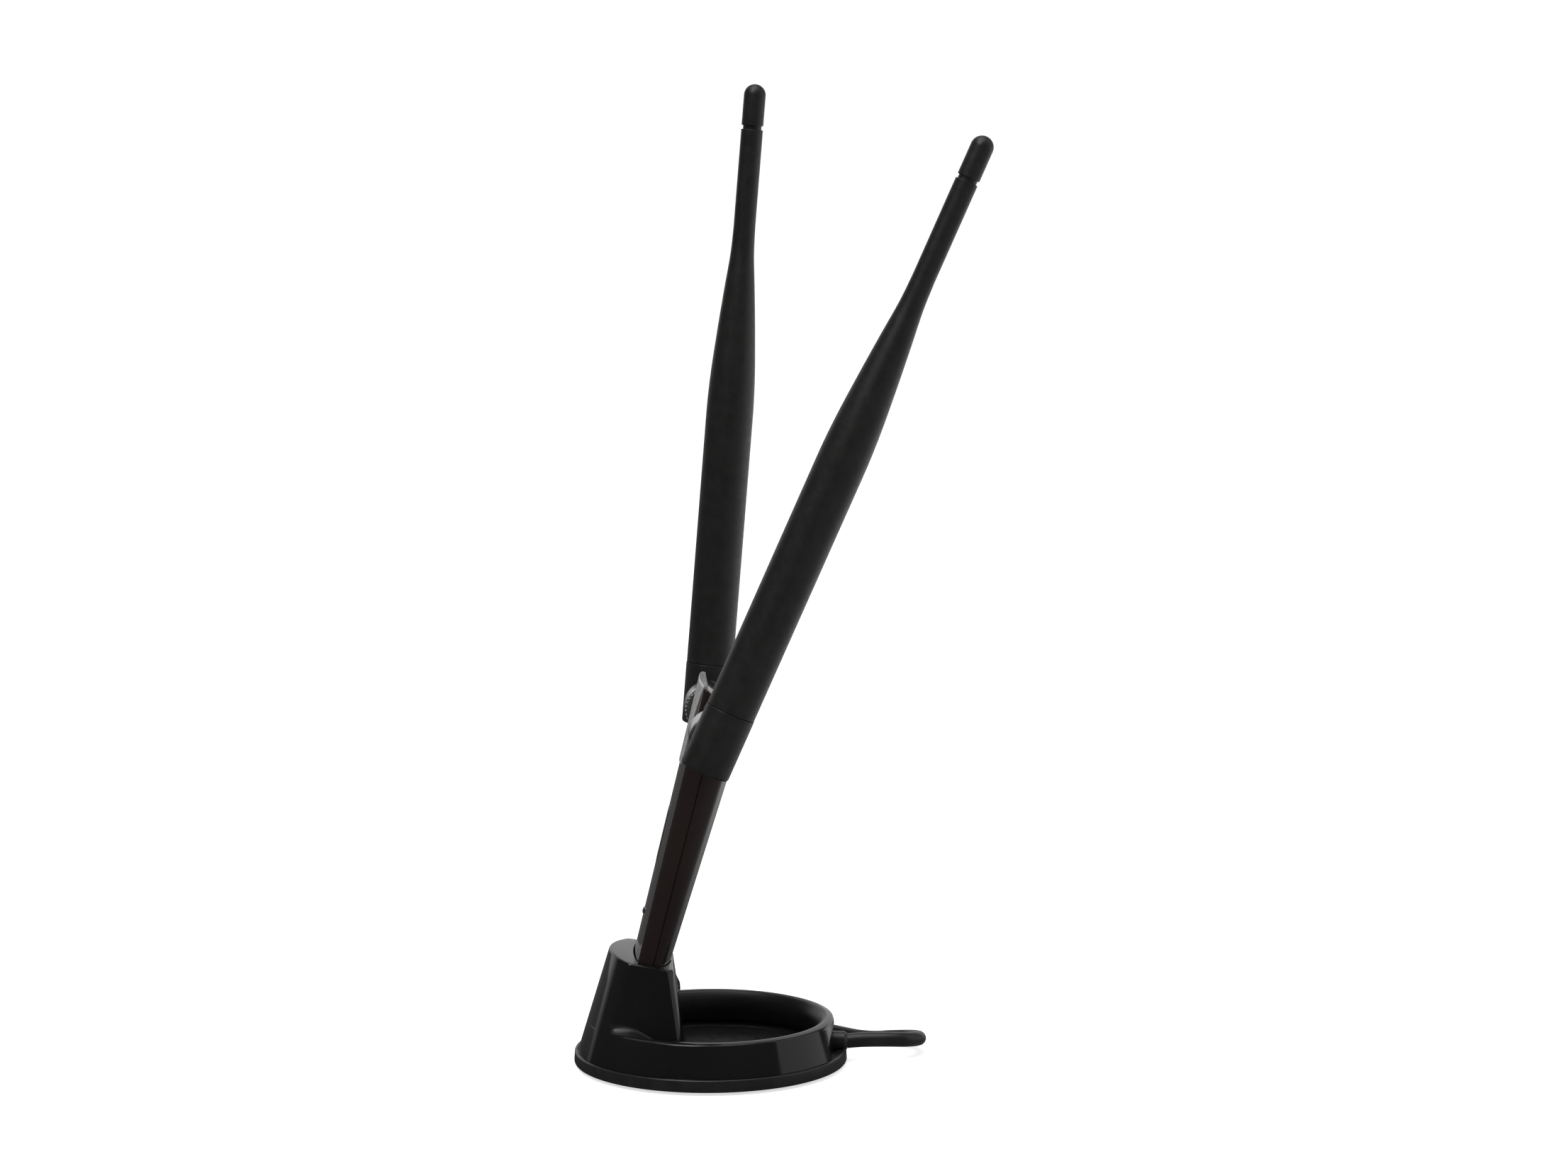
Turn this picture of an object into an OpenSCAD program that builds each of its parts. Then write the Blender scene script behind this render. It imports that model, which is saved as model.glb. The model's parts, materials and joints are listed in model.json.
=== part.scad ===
// Desktop network adapter with two swivelling whip antennas, standing in a round cabled cradle.
// Millimetres, +Z up. Origin: centre of the ring on the desk. +X: towards the cable exit.

/* [Cradle] */
// Radius of the base plate
plate_r = 36.9; // [34:0.1:42]
// Top of the base plate above the desk
plate_top = 4.2; // [3:0.1:6]
// Radius of the outer wall where it meets the base plate
wall_r = 35.75; // [33:0.05:40]
// Highest point of the ring rim
rim_top = 13.1; // [10:0.1:18]
// Inward slope of the outer wall from vertical, in degrees
wall_slope = 17.1; // [5:0.1:25]
// Width of the tower across Y
tower_w = 32.8; // [30:0.1:38]
// Front height of the tower top, on its centre line
tower_top = 32.3; // [26:0.1:40]
// Downward slope of the tower top towards the rear, in degrees
tower_top_slope = 11; // [0:0.5:20]

/* [Adapter] */
// Width of the adapter body across Y
body_w = 28; // [24:0.1:31]
// Backward lean of the adapter, in degrees
lean = 13.74; // [5:0.01:20]
// Length of the body above its datum at the tower mouth
body_top = 77; // [60:0.5:90]
// Depth that the body sinks below the datum into the tower
body_sink = 6; // [4:0.5:8]

/* [Antennas] */
// Diameter of the antenna body
whip_d = 13; // [10:0.1:15]
// Diameter of the slim upper part
slim_d = 6; // [4:0.1:8]
// Length from the hinge to the tip
whip_up = 170.5; // [120:0.5:220]
// Length from the hinge down to the flat end
whip_down = 7; // [6:0.1:9]
// Distance of each antenna axis from the middle of the adapter
whip_y = 42.7; // [38:0.1:50]
// Lean of the near antenna from vertical, towards the rear, in degrees
near_lean = 24.05; // [0:0.05:60]
// Lean of the far antenna from vertical, towards the rear, in degrees
far_lean = 4.75; // [0:0.05:60]

/* [Cable] */
// Diameter of the cable
cord_d = 4; // [3:0.1:5]
// Height of the cable centre at its exit
cord_z = 5.5; // [4:0.1:8]

/* [Hidden] */
$fn = 96;
black = [0.05, 0.05, 0.055];
satin = [0.1, 0.1, 0.105];
silver = [0.7, 0.7, 0.71];
steel = [0.6, 0.6, 0.62];
gold = [0.83, 0.65, 0.3];
white = [0.9, 0.9, 0.88];
green = [0.05, 0.3, 0.12];

plate_z = 0.8;             // underside of the base plate, on its pad
pad_r = 29.5;              // radius of the anti-slip pad
plate_t = 0.8;             // thickness of its floor
plate_rim_r = 33.4;        // inner radius of its raised rim
wall_t = 1.6;              // wall of the cradle shell
rim_r = 31.7;              // radius of the rim crest
bowl_r = 29;               // radius of the bowl floor
bowl_z = 2.9;              // top of the shell floor inside the bowl
bowl_floor_t = 0.7;        // thickness of the shell floor
inlay_t = 0.35;            // thickness of the bowl inlay
ballast_t = 0.55;          // thickness of the steel ballast
tan_wall = tan(wall_slope);
tower_rear_x = -6.1;       // rear face of the tower at desk level
tower_rear_slope = 7.8;    // its forward slope, in degrees
tower_side_draft = 8.5;     // draft of its two sides, in degrees
tower_corner_r = 3.5;      // rounding of the two rear corners
gap = 0.3;                 // clearance between loose parts

datum_z = 30;              // datum of the adapter axis system, at the tower mouth
datum_x = -19.625;
body_bulge = 1;            // rise of the front face at its middle
body_back = 8.9;           // depth of the body at the datum, front edge to back crest
body_taper = 3.8;          // back slope relative to the front, in degrees
back_bulge = 2.6;          // rise of the back face at its middle
seam_t = 4;                // depth of the seam between the two shells
shell_t = 1.4;             // wall of both adapter shells
edge_r = 1.2;              // rounding of the long body edges
button_low = 27.9;         // lower end of the button slot, centre of its round end
button_high = 39.9;        // upper end of it
button_r = 2.4;            // half width of the button
button_back = 1.85;        // depth of the button behind the front edge
switch_t = 2.4;            // front of the switch, just clear of the pressed button
lens_w = 12.4;             // height of the status window along the body
board_t = 4.7;             // front of the circuit board
board_half = 9.8;          // half its width
jack_w = 66.43;            // height of the antenna jacks along the body
jack_t = 4.52;             // depth of the antenna jacks behind the front edge
plug_t = 4.5;              // depth of the plug centre behind the front edge
plug_len = 18;             // plug shell below the body
socket_len = 14;           // receptacle length

hinge_x = datum_x + jack_w * sin(lean) + jack_t * cos(lean);
hinge_z = datum_z + jack_w * cos(lean) - jack_t * sin(lean);

nut_in = whip_y - 19;      // knurled rim of the thumb nut, measured from the hinge towards the body
nut_out = whip_y - 31.9;   // plain end of the thumb nut
nut_r = 6.6;
nut_teeth = 36;
neck_r = 4;                // swivel neck
slot_half = neck_r + gap;  // half width of the slot in the housing
pin_r = 1.25;              // hinge pin
fit_gap = 0.05;            // radial running clearance
thread_r = 3.15;           // jack thread, over its crests
stem_r = 2.5;              // stem that the nut turns on
collar_top = 10;           // seam between the housing and the whip, above the hinge
groove = whip_up - 12.4;   // groove under the tip cap
groove_w = 1.1;

// Radius of the whip at distances from the tip: the swelling between the slim part and the body.
swell = [
    [39, 0], [44, 0.04], [47.3, 0.095], [50.2, 0.17], [53.1, 0.257], [56.1, 0.343],
    [59, 0.42], [64.8, 0.571], [70.7, 0.71], [76.6, 0.84], [82.4, 0.937], [88, 0.99], [92, 1]
];

cord_r = cord_d / 2;
cord_sides = 10;
// Cable route on the desk: out of the gland, back round the ring, into the side of the hank.
cord_route = [
    [37, 0, 5.5], [41, 0, 5.75], [45, 0, 5.8], [48.9, 0.2, 5.7], [53, 1.3, 5.35], [56, 4.1, 4.8],
    [57.2, 7.9, 4.1], [56.6, 11.9, 3.4], [53.9, 15.2, 2.7], [50.1, 16.7, 2.3], [46.5, 16.9, 2.1],
    [43.1, 17.6, 2.1], [40.1, 19.5, 2.1], [36.8, 22.8, 2.1], [33.3, 26.3, 2.1], [29.8, 29.8, 2.1],
    [26, 33.3, 2.1], [21.8, 36.6, 2.1], [17, 39.3, 2.1], [11.5, 41.4, 2.1], [5.5, 43, 2.1],
    [-0.6, 45.6, 2.1], [-5.3, 49.8, 2.1], [-8.5, 55, 2.1], [-10, 60.4, 2.1], [-10.3, 66, 2.1]
];
// Off the top of the hank and up to the plug that lies on it.
tail_route = [
    [-25.9, 90, 7.5], [-25.7, 86, 8], [-24.4, 81.5, 9], [-22.2, 77.5, 10.3],
    [-20, 74, 11.4], [-18.5, 71.5, 11.9], [-18.1, 70, 11.9]
];
hank_x = -18.1;            // middle of the hank
hank_y0 = 36;              // its near end
hank_y1 = 110;             // far end of its lower turn
hank_y2 = 100;             // far end of its upper turn
hank_w = 20;
hank_low = 5.2;            // height of the lower turn
hank_h = 8.2;
plug_x = -18.1;            // axis of the cable plug, which lies on the hank
plug_y = 70;               // its start; it points back to the tower
plug_z = 11.9;
plug_half = 3.7;           // half its thickness
grip_taper = 6;            // length of its tapered neck
grip_len = 22;             // length of its moulded grip with the neck

// ---------- shared shapes ----------

function arc_pts(cx, cy, r, a0, a1, n) =
    [for (i = [0:n]) let (a = a0 + (a1 - a0) * i / n) [cx + r * cos(a), cy + r * sin(a)]];

// Adapter axis system: x = depth from the front edge, y = width, z = along the body.
module on_body() {
    translate([datum_x, 0, datum_z])
        rotate([0, lean, 0])
            children();
}

// Antenna axis system: origin in the hinge, z up the whip, -y towards the adapter body.
module on_antenna(side) {
    translate([hinge_x, side * whip_y, hinge_z])
        rotate([0, side < 0 ? near_lean : far_lean, 0])
            rotate([0, 0, side < 0 ? 180 : 0])
                children();
}

// A ring or rod along y between two distances from the hinge towards the body.
module along_y(from, to, r, bore = 0) {
    translate([0, -from, 0])
        rotate([90, 0, 0])
            difference() {
                cylinder(r = r, h = to - from);
                if (bore > 0)
                    translate([0, 0, -1])
                        cylinder(r = bore, h = to - from + 2);
            }
}

// ---------- cradle ----------

// Solid of the outer wall carried up to a point well above the tower.
module wall_cone(inset = 0) {
    h = 36;
    translate([0, 0, plate_top])
        cylinder(r1 = wall_r - inset, r2 = wall_r - inset - h * tan_wall, h = h);
}

// Tower section at a height on its rear slope, from the far left round both rear corners.
function tower_outline(half, rear, r) = concat(
    [[-60, -half]],
    arc_pts(rear - r, -half + r, r, -90, 0, 8),
    arc_pts(rear - r, half - r, r, 0, 90, 8),
    [[-60, half]]
);

// Tower without its front and top: drafted sides, sloping rear face with rounded corners.
module tower_prism(inset = 0) {
    translate([tower_rear_x, 0, 0])
        rotate([0, -tower_rear_slope, 0])
            hull()
                for (z = [-20, 60]) {
                    half = tower_w / 2 - inset + (tower_top - z) * tan(tower_side_draft);
                    translate([0, 0, z])
                        linear_extrude(height = 0.01)
                            polygon(tower_outline(half, -inset, tower_corner_r - inset));
                }
}

module below_tower_top(drop = 0) {
    translate([-36, 0, tower_top + 8.4 * tan(tower_top_slope) - drop])
        rotate([0, tower_top_slope, 0])
            translate([-40, -40, -60])
                cube([100, 80, 60]);
}

module tower_solid(inset = 0, bottom = plate_top) {
    intersection() {
        wall_cone(inset);
        tower_prism(inset);
        below_tower_top(inset);
        translate([-60, -40, bottom])
            cube([80, 80, 60]);
    }
}

// Half section of the ring: sloping outer wall, rolled rim, rounded inner wall, flat floor.
module ring_section() {
    roll = 2;
    outer_top = rim_top - 0.9;
    corner = 0.6;
    outer_r = wall_r - (outer_top - plate_top) * tan_wall;
    polygon(concat(
        [[0, bowl_z - bowl_floor_t], [bowl_r + 2, bowl_z - bowl_floor_t]],
        [[bowl_r + 2, plate_top], [wall_r, plate_top]],
        arc_pts(outer_r - corner, outer_top, corner, wall_slope, 75, 4),
        arc_pts(rim_r, rim_top - roll, roll, 88, 128, 5),
        arc_pts(bowl_r + 5.6, bowl_z + 5.4, 5.85, 148, 226, 8),
        [[bowl_r, bowl_z], [0, bowl_z]]
    ));
}

module ring_cavity() {
    rotate_extrude()
        polygon([[31.1, 2], [33.5, 2], [33.5, plate_top + 0.2], [32.6, 9.6], [31.6, 9.6]]);
}

module screw_axes() {
    for (a = [60, 180, 300])
        rotate([0, 0, a])
            translate([32.3, 0, 0])
                children();
}

module cradle_shell() {
    color(black)
        difference() {
            union() {
                rotate_extrude()
                    ring_section();
                tower_solid();
            }
            difference() {
                ring_cavity();
                screw_axes()
                    cylinder(r = 1.7, h = 12);
            }
            // hollow of the tower, without the two ribs that the adapter rests on
            difference() {
                tower_solid(wall_t, 1);
                on_body()
                    for (y = [-15, 9.5])
                        translate([1, y, -13])
                            cube([6, 5.5, 13 - body_sink - gap]);
            }
            translate([0, 0, 1])
                intersection() {
                    tower_prism(wall_t);
                    cylinder(r = 31, h = 5);
                }
            // mouth for the adapter body
            on_body()
                translate([-body_bulge - gap, -body_w / 2 - gap, -9])
                    cube([body_back + body_bulge + 2 * gap + 1, body_w + 2 * gap, 30]);
            // pilot holes for the base screws
            screw_axes()
                cylinder(r = 0.8, h = 8.5);
            // cable hole
            translate([28, 0, cord_z])
                rotate([0, 90, 0])
                    cylinder(r = 2.75, h = 12);
        }
}

module base_plate() {
    color(satin)
        difference() {
            rotate_extrude()
                polygon(concat(
                    [[0, plate_z], [plate_r - 0.5, plate_z]],
                    arc_pts(plate_r - 0.5, plate_z + 0.5, 0.5, -90, 0, 4),
                    arc_pts(plate_r - 0.65, plate_top - 0.5, 0.5, 10, 90, 4),
                    [[plate_rim_r, plate_top], [plate_rim_r, plate_z + plate_t], [0, plate_z + plate_t]]
                ));
            screw_axes() {
                cylinder(r = 1, h = 4);
                cylinder(r = 1.95, h = 1.35);
            }
            translate([28, 0, cord_z])
                rotate([0, 90, 0])
                    cylinder(r = 2.75, h = 12);
        }
}

module bowl_inlay() {
    color(satin)
        difference() {
            translate([0, 0, bowl_z])
                cylinder(r = bowl_r - 0.1, h = inlay_t);
            tower_prism(-0.1);
        }
}

// Two steel plates under the bowl, one each side of the leads.
module ballast_plates() {
    color(steel)
        difference() {
            translate([0, 0, plate_z + plate_t])
                cylinder(r = 30.5, h = ballast_t);
            tower_prism(-0.2);
            translate([-20, -1.6, 0])
                cube([60, 3.2, 4]);
        }
}

module grip_pad() {
    color(satin)
        cylinder(r = pad_r, h = plate_z);
}

module base_screws() {
    color(steel)
        screw_axes()
            difference() {
                union() {
                    translate([0, 0, plate_z + 0.1])
                        cylinder(r = 1.8, h = 0.45);
                    cylinder(r = 0.8, h = 8.3);
                }
                translate([0, 0, -0.1])
                    cylinder(r = 3, h = plate_z + 0.2);
            }
}

// ---------- socket in the tower ----------

socket_top = -body_sink - 4.6;      // mouth of the receptacle along the body axis

module socket_shell() {
    color(steel)
        on_body()
            translate([plug_t, 0, socket_top - socket_len])
                difference() {
                    translate([-2.85, -6.6, 0])
                        cube([5.7, 13.2, socket_len]);
                    translate([-2.5, -6.25, 0.4])
                        cube([5, 12.5, socket_len]);
                }
}

module socket_tongue() {
    color(white)
        on_body()
            translate([plug_t, 0, socket_top - socket_len + 0.4])
                union() {
                    translate([-2.3, -5.6, 0])
                        cube([4.6, 11.2, 0.6]);
                    translate([-1.75, -5.3, 0.6])
                        cube([1.5, 10.6, 9.6]);
                }
}

module socket_contacts() {
    color(gold)
        on_body()
            for (y = [-3.5, -1, 1, 3.5])
                translate([plug_t - 0.25, y - 0.5, socket_top - socket_len + 1])
                    cube([0.12, 1, 8.6]);
}

module socket_board() {
    color(green)
        on_body()
            translate([plug_t + 2.85, -tower_w / 2 + wall_t, socket_top - 12])
                cube([1, tower_w - 2 * wall_t, 12]);
}

module inner_leads() {
    color(white)
        union() {
            for (y = [-1.05, -0.35, 0.35, 1.05])
                translate([-14, y, plate_z + plate_t + 0.28])
                    rotate([0, 90, 0])
                        cylinder(r = 0.25, h = 46.3, $fn = 16);
        }
}

module cable_gland() {
    color(satin)
        translate([0, 0, cord_z])
            rotate([0, 90, 0]) {
                translate([0, 0, 32])
                    cylinder(r = 2.75, h = 2);
                translate([0, 0, 34])
                    cylinder(r = 2.7, h = 2.2);
                translate([0, 0, 36.2])
                    cylinder(r1 = 2.7, r2 = 2.2, h = 0.8);
            }
}

// ---------- cable ----------

function unit(v) = v / norm(v);
function ahead(pts, i) = unit(pts[min(i + 1, len(pts) - 1)] - pts[max(i - 1, 0)]);
function ring_pts(p, d, r, n) =
    let (u = unit(cross([0, 0, 1], d)), w = cross(d, u))
    [for (k = [0:n - 1]) p + r * (cos(360 * k / n) * u + sin(360 * k / n) * w)];

module sweep_tube(pts, r, n) {
    m = len(pts);
    rings = [for (i = [0:m - 1]) each ring_pts(pts[i], ahead(pts, i), r, n)];
    walls = [for (i = [0:m - 2]) for (k = [0:n - 1]) each [
        [i * n + k, (i + 1) * n + (k + 1) % n, i * n + (k + 1) % n],
        [i * n + k, (i + 1) * n + k, (i + 1) * n + (k + 1) % n]
    ]];
    first = [for (k = [0:n - 1]) k];
    last = [for (k = [n - 1:-1:0]) (m - 1) * n + k];
    polyhedron(rings, concat(walls, [first], [last]), convexity = 8);
}

module cord_tube() {
    color(black)
        sweep_tube(cord_route, cord_r, cord_sides);
}

module cord_tail() {
    color(black)
        sweep_tube(tail_route, cord_r, cord_sides);
}

module hank_loop(far, high) {
    r = hank_w / 2;
    linear_extrude(height = high)
        polygon(concat(
            arc_pts(hank_x, far - r, r, 0, 180, 16),
            arc_pts(hank_x, hank_y0 + r, r, 180, 360, 16)
        ));
}

module cord_hank() {
    color(black)
        union() {
            hank_loop(hank_y1, hank_low);
            hank_loop(hank_y2, hank_h);
        }
}

// Strap round the hank and the grip of the plug.
module hank_tie() {
    tie_w = 5;
    tie_y = 65;
    half = hank_w / 2 + 0.4;
    top_half = 6.9;
    top = plug_z + plug_half;
    strap_t = 0.7;
    color(satin)
        translate([hank_x, tie_y, 0])
            rotate([90, 0, 0])
                linear_extrude(height = tie_w)
                    polygon([
                        [-half, 0], [-half - strap_t, 0], [-half - strap_t, hank_h + 0.2],
                        [-top_half - strap_t, top + strap_t], [top_half + strap_t, top + strap_t],
                        [half + strap_t, hank_h + 0.2], [half + strap_t, 0], [half, 0],
                        [half, hank_h + 0.1], [top_half, top + 0.05], [-top_half, top + 0.05], [-half, hank_h + 0.1]
                    ]);
}

module on_plug() {
    translate([plug_x, plug_y, plug_z])
        rotate([90, 0, 0])
            children();
}

module cord_plug_grip() {
    corner = 1.8;
    half_x = 6.8 - corner;
    half_y = plug_half - corner;
    color(satin)
        on_plug() {
            cylinder(r1 = 2.4, r2 = 3.2, h = grip_taper);
            translate([0, 0, grip_taper])
                linear_extrude(height = grip_len - grip_taper)
                    polygon(concat(
                        arc_pts(half_x, half_y, corner, 0, 90, 4),
                        arc_pts(-half_x, half_y, corner, 90, 180, 4),
                        arc_pts(-half_x, -half_y, corner, 180, 270, 4),
                        arc_pts(half_x, -half_y, corner, 270, 360, 4)
                    ));
        }
}

module cord_plug_shell() {
    color(steel)
        on_plug()
            translate([-6, -2.25, grip_len])
                difference() {
                    cube([12, 4.5, 12]);
                    translate([0.3, 0.3, 0.5])
                        cube([11.4, 3.9, 12]);
                }
}

module cord_plug_tongue() {
    color(white)
        on_plug()
            translate([-5.6, 0, grip_len + 0.5])
                cube([11.2, 1.9, 10.8]);
}

// ---------- adapter ----------

// Outline of the front half across the body: a shallow arc with rounded edges.
function front_arc(half, bulge, deep) =
    let (r = (half * half + bulge * bulge) / (2 * bulge), a = asin((half - edge_r) / r))
    concat(
        [[deep, -half]],
        arc_pts(edge_r + 0.25, -half + edge_r, edge_r, 270, 190, 4),
        arc_pts(r - bulge, 0, r, 180 + a, 180 - a, 14),
        arc_pts(edge_r + 0.25, half - edge_r, edge_r, 170, 90, 4),
        [[deep, half]]
    );

function back_arc(half, rise, depth, from) =
    let (r = (half * half + rise * rise) / (2 * rise), a = asin((half - 0.6) / r))
    concat([[from, half]], arc_pts(depth - r, 0, r, a, -a, 14), [[from, -half]]);

// Everything in front of the seam plane, or behind it.
module front_of_seam(shift = 0) {
    translate([seam_t + shift, 0, 0])
        rotate([0, 0.85, 0])
            translate([-60, -40, -60])
                cube([60, 80, 200]);
}

module behind_seam() {
    translate([seam_t, 0, 0])
        rotate([0, 0.85, 0])
            translate([0, -40, -60])
                cube([60, 80, 200]);
}

// Side outline that trims the top: a short flat at the front, then a slope to the back.
module top_trim(inset = 0) {
    low = -body_sink + inset;
    high = body_top - inset;
    translate([0, 40, 0])
        rotate([90, 0, 0])
            linear_extrude(height = 80)
                polygon([
                    [-5, low], [20, low], [20, high - 12], [12, high - 7.6],
                    [1.4, high - 0.9], [0.6, high], [-5, high]
                ]);
}

module body_solid(inset = 0) {
    intersection() {
        top_trim(inset);
        union() {
            intersection() {
                front_of_seam(0.01);
                translate([inset, 0, -20])
                    linear_extrude(height = 120)
                        polygon(front_arc(body_w / 2 - inset, body_bulge, 12));
            }
            intersection() {
                behind_seam();
                rotate([0, body_taper, 0])
                    translate([0, 0, -20])
                        linear_extrude(height = 130)
                            polygon(back_arc(body_w / 2 - inset, back_bulge, body_back - inset, -6));
            }
        }
    }
}

module jack_holes() {
    translate([jack_t, 0, jack_w])
        rotate([90, 0, 0])
            cylinder(r = thread_r + fit_gap, h = 60, center = true);
}

module button_outline(grow = 0, from = -2, to = button_back) {
    hull()
        for (z = [button_low, button_high])
            translate([from, 0, z])
                rotate([0, 90, 0])
                    cylinder(r = button_r + grow, h = to - from, $fn = 32);
}

module front_shell() {
    color(black)
        on_body()
            difference() {
                intersection() {
                    body_solid();
                    front_of_seam(-0.06);
                }
                body_solid(shell_t);
                button_outline(gap);
                jack_holes();
                translate([-2, 0, lens_w])
                    rotate([0, 90, 0])
                        cylinder(r = 1, h = 6);
                usb_plug_opening();
                trim_solid(0.02);
            }
}

module back_shell() {
    color(black)
        on_body()
            difference() {
                intersection() {
                    body_solid();
                    behind_seam();
                }
                difference() {
                    body_solid(shell_t);
                    // posts that hold the circuit board
                    for (y = [-8, 8], z = [6, 52])
                        translate([board_t + 1, y, z])
                            rotate([0, 90, 0])
                                cylinder(r = 1.2, h = 9);
                }
                jack_holes();
                usb_plug_opening();
            }
}

module usb_plug_opening() {
    translate([plug_t - 2.27, -6.02, -body_sink - 1])
        cube([4.54, 12.04, 4]);
}

// Trim plate: full width at the top, narrowing downwards, lying in the front face.
module trim_solid(grow = 0) {
    intersection() {
        translate([-0.35, 0, 0])
            linear_extrude(height = 100)
                polygon(front_arc(body_w / 2 + grow, body_bulge, 1.1 + grow));
        translate([5, 0, 0])
            rotate([0, -90, 0])
                linear_extrude(height = 12)
                    polygon([
                        [body_top + 0.3, -13.9], [body_top - 7, -9.5], [55, -6.5], [54 - grow, -5],
                        [54 - grow, 5], [55, 6.5], [body_top - 7, 9.5], [body_top + 0.3, 13.9]
                    ]);
    }
}

module silver_trim() {
    color(silver)
        on_body()
            trim_solid();
}

module pairing_button() {
    color(black)
        on_body()
            union() {
                intersection() {
                    button_outline();
                    translate([-0.15, 0, 0])
                        linear_extrude(height = 100)
                            polygon(front_arc(body_w / 2, body_bulge, 4));
                }
                button_outline(0.9, 0.6);
            }
}

module status_lens() {
    color(white)
        on_body()
            translate([-1.5, 0, lens_w])
                rotate([0, 90, 0])
                    cylinder(r = 0.95, h = 2.6);
}

module main_board() {
    color(green)
        on_body()
            translate([board_t, -board_half, -1.9])
                cube([1, 2 * board_half, 64.8]);
}

module radio_shield() {
    color(steel)
        on_body()
            translate([board_t + 1, -8, 18])
                difference() {
                    cube([1.6, 16, 22]);
                    translate([-1, 0.3, 0.3])
                        cube([2.3, 15.4, 21.4]);
                }
}

module button_switch() {
    color(steel)
        on_body()
            translate([switch_t, -2, (button_low + button_high) / 2 - 2])
                cube([board_t - switch_t, 4, 4]);
}

module usb_plug_shell() {
    color(steel)
        on_body()
            translate([plug_t - 2.25, -6, -body_sink - plug_len + 4])
                difference() {
                    cube([4.5, 12, plug_len]);
                    translate([0.3, 0.3, -1])
                        cube([3.9, 11.4, plug_len - 2]);
                }
}

module usb_plug_tongue() {
    color(white)
        on_body()
            translate([plug_t + 0.05, -5.6, -body_sink - plug_len + 4.6])
                cube([1.85, 11.2, plug_len - 3.6]);
}

module usb_plug_contacts() {
    color(gold)
        on_body()
            for (y = [-3.5, -1, 1, 3.5])
                translate([plug_t - 0.1, y - 0.5, -body_sink - plug_len + 5.6])
                    cube([0.15, 1, 8]);
}

// Jack barrel through the side wall, in the adapter axes but square to its sides.
module jack(side) {
    color(gold)
        on_body()
            translate([jack_t, 0, jack_w])
                rotate([side > 0 ? -90 : 90, 0, 0])
                    translate([0, 0, 10.5])
                        difference() {
                            cylinder(r = thread_r, h = 15);
                            translate([0, 0, 9.5])
                                cylinder(r = 2.15, h = 7);
                        }
}

module jack_collar(side) {
    color(satin)
        on_body()
            translate([jack_t, 0, jack_w])
                rotate([side > 0 ? -90 : 90, 0, 0])
                    translate([0, 0, body_w / 2])
                        difference() {
                            cylinder(r = 4.8, h = 4.4);
                            translate([0, 0, -1])
                                cylinder(r = thread_r, h = 8);
                        }
}

// ---------- antennas ----------

module nut() {
    rim = 1.6;
    color(silver)
        difference() {
            union() {
                along_y(nut_out, nut_in - rim, nut_r);
                along_y(nut_in - rim, nut_in, nut_r - 0.35);
                for (i = [0:nut_teeth - 1])
                    rotate([0, i * 360 / nut_teeth, 0])
                        translate([0, -nut_in, nut_r - 0.6])
                            rotate([0, 45, 0])
                                translate([-0.32, 0, -0.32])
                                    cube([0.64, rim, 0.64]);
            }
            along_y(nut_out - 1, nut_in + 1, stem_r + fit_gap);
            along_y(nut_out + 4.6, nut_in + 1, thread_r + fit_gap);
        }
}

module swivel() {
    color(black)
        difference() {
            union() {
                // stem and its retaining flange inside the nut
                along_y(nut_out - 0.3, nut_out + 5, stem_r);
                along_y(nut_out + 4.7, nut_out + 5.6, 3);
                along_y(0, nut_out - 0.3, neck_r);
                along_y(nut_out - 0.5, nut_out - 0.1, 5.6);
                rotate([0, 90, 0])
                    cylinder(r = neck_r, h = 2 * neck_r, center = true);
            }
            rotate([0, 90, 0])
                cylinder(r = pin_r + fit_gap, h = 20, center = true);
            along_y(nut_out + 1, nut_out + 6, 0.6);
        }
}

module coax_pin() {
    color(gold)
        union() {
            along_y(nut_out + 1, nut_out + 7.2, 0.6);
            along_y(nut_out + 5.6, nut_out + 6, 2);
        }
}

module housing() {
    edge = 0.8;
    r = whip_d / 2 + 0.1;
    color(black)
        difference() {
            rotate_extrude()
                polygon(concat(
                    [[0, -whip_down]],
                    arc_pts(r - edge, -whip_down + edge, edge, -90, 0, 6),
                    [[r, collar_top], [0, collar_top]]
                ));
            translate([-slot_half, -9, -9])
                cube([2 * slot_half, 9 + slot_half, 9 + slot_half]);
            rotate([0, 90, 0])
                cylinder(r = pin_r, h = 11.6, center = true);
            translate([0, 0, 6])
                cylinder(r = 3, h = 6);
        }
}

module hinge_pin() {
    color(steel)
        rotate([0, 90, 0])
            cylinder(r = pin_r, h = 11.6, center = true);
}

module whip() {
    slim = slim_d / 2;
    grow = whip_d / 2 - slim;
    color(black)
        difference() {
            rotate_extrude()
                polygon(concat(
                    [[0, collar_top], [whip_d / 2, collar_top]],
                    [for (i = [len(swell) - 1:-1:0]) [slim + grow * swell[i][1], whip_up - swell[i][0]]],
                    [[slim, groove], [slim - 0.5, groove]],
                    [[slim - 0.5, groove + groove_w - 0.1], [0, groove + groove_w - 0.1]]
                ));
            translate([0, 0, collar_top - 1])
                cylinder(r = 4.5, h = 56);
            translate([0, 0, collar_top + 54])
                cylinder(r = 1.6, h = groove - collar_top - 60);
        }
}

module tip_cap() {
    slim = slim_d / 2;
    color(black)
        rotate_extrude()
            polygon(concat(
                [[0, groove + groove_w], [slim, groove + groove_w]],
                arc_pts(0, whip_up - slim, slim, 0, 90, 12)
            ));
}

module radiator() {
    color(gold)
        union() {
            translate([0, 0, 6])
                cylinder(r = 0.7, h = 130);
            translate([0, 0, 20])
                cylinder(r = 2.4, h = 30);
        }
}

// ---------- nodes ----------

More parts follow.
